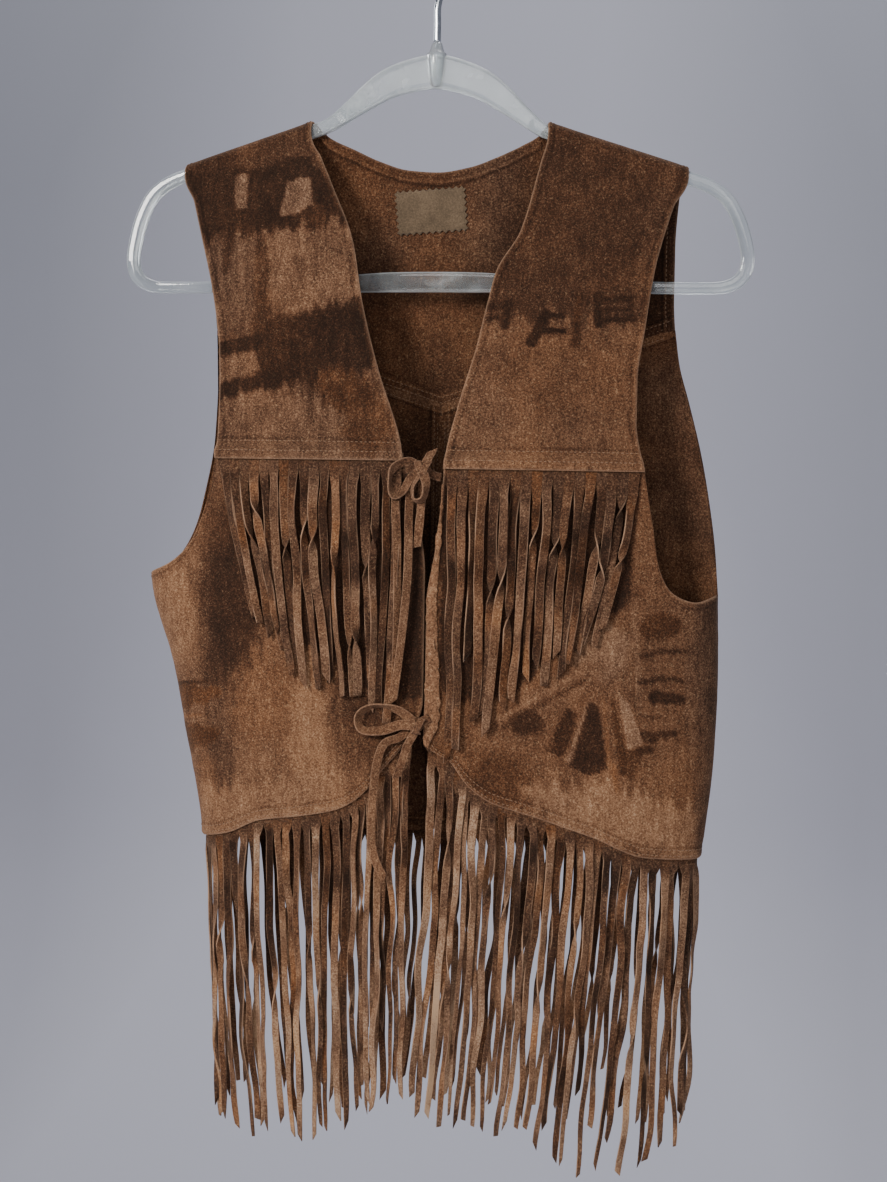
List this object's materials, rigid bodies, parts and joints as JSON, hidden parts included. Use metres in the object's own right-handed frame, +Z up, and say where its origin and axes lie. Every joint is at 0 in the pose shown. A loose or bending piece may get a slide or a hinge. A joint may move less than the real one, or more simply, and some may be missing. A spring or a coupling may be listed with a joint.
{
  "type": "fringed suede vest on a clear hanger",
  "caption": "Open-front suede vest with fringed yokes and hem, tied with suede laces, hanging on a clear hanger with a wire hook.",
  "frame": {"origin": "inner crown of the hanger's hook, where a rail holds it", "axes": "+Z up, +X towards the wearer's left, the front of the vest faces -Y"},
  "size_m": [0.431, 0.086, 0.8445],
  "materials": {
    "suede": "matte napped suede",
    "suede_rough": "raw flesh side, matte",
    "label_suede": "smooth matte, pinked edges",
    "clear_plastic": "clear polished plastic",
    "chrome": "polished"
  },
  "bodies": {
    "root": {"front_yoke_right": "suede", "front_yoke_left": "suede", "front_lower_right": "suede", "front_lower_left": "suede", "back_yoke": "suede", "back_lower_right": "suede", "back_lower_left": "suede", "yoke_fringe_right": "suede", "yoke_fringe_left": "suede", "hem_fringe_front_right": "suede", "hem_fringe_front_left": "suede", "hem_fringe_back_right": "suede", "hem_fringe_back_left": "suede", "front_edge_band": "suede_rough", "neck_label": "label_suede", "tie_upper_bow": "suede", "tie_upper_tail_long": "suede", "tie_upper_tail_second": "suede", "tie_upper_tail_wide": "suede", "tie_lower_bow": "suede", "tie_lower_tail_long": "suede", "tie_lower_tail_short": "suede", "hanger_frame": "clear_plastic", "hanger_hook": "chrome"}
  },
  "joints": []
}
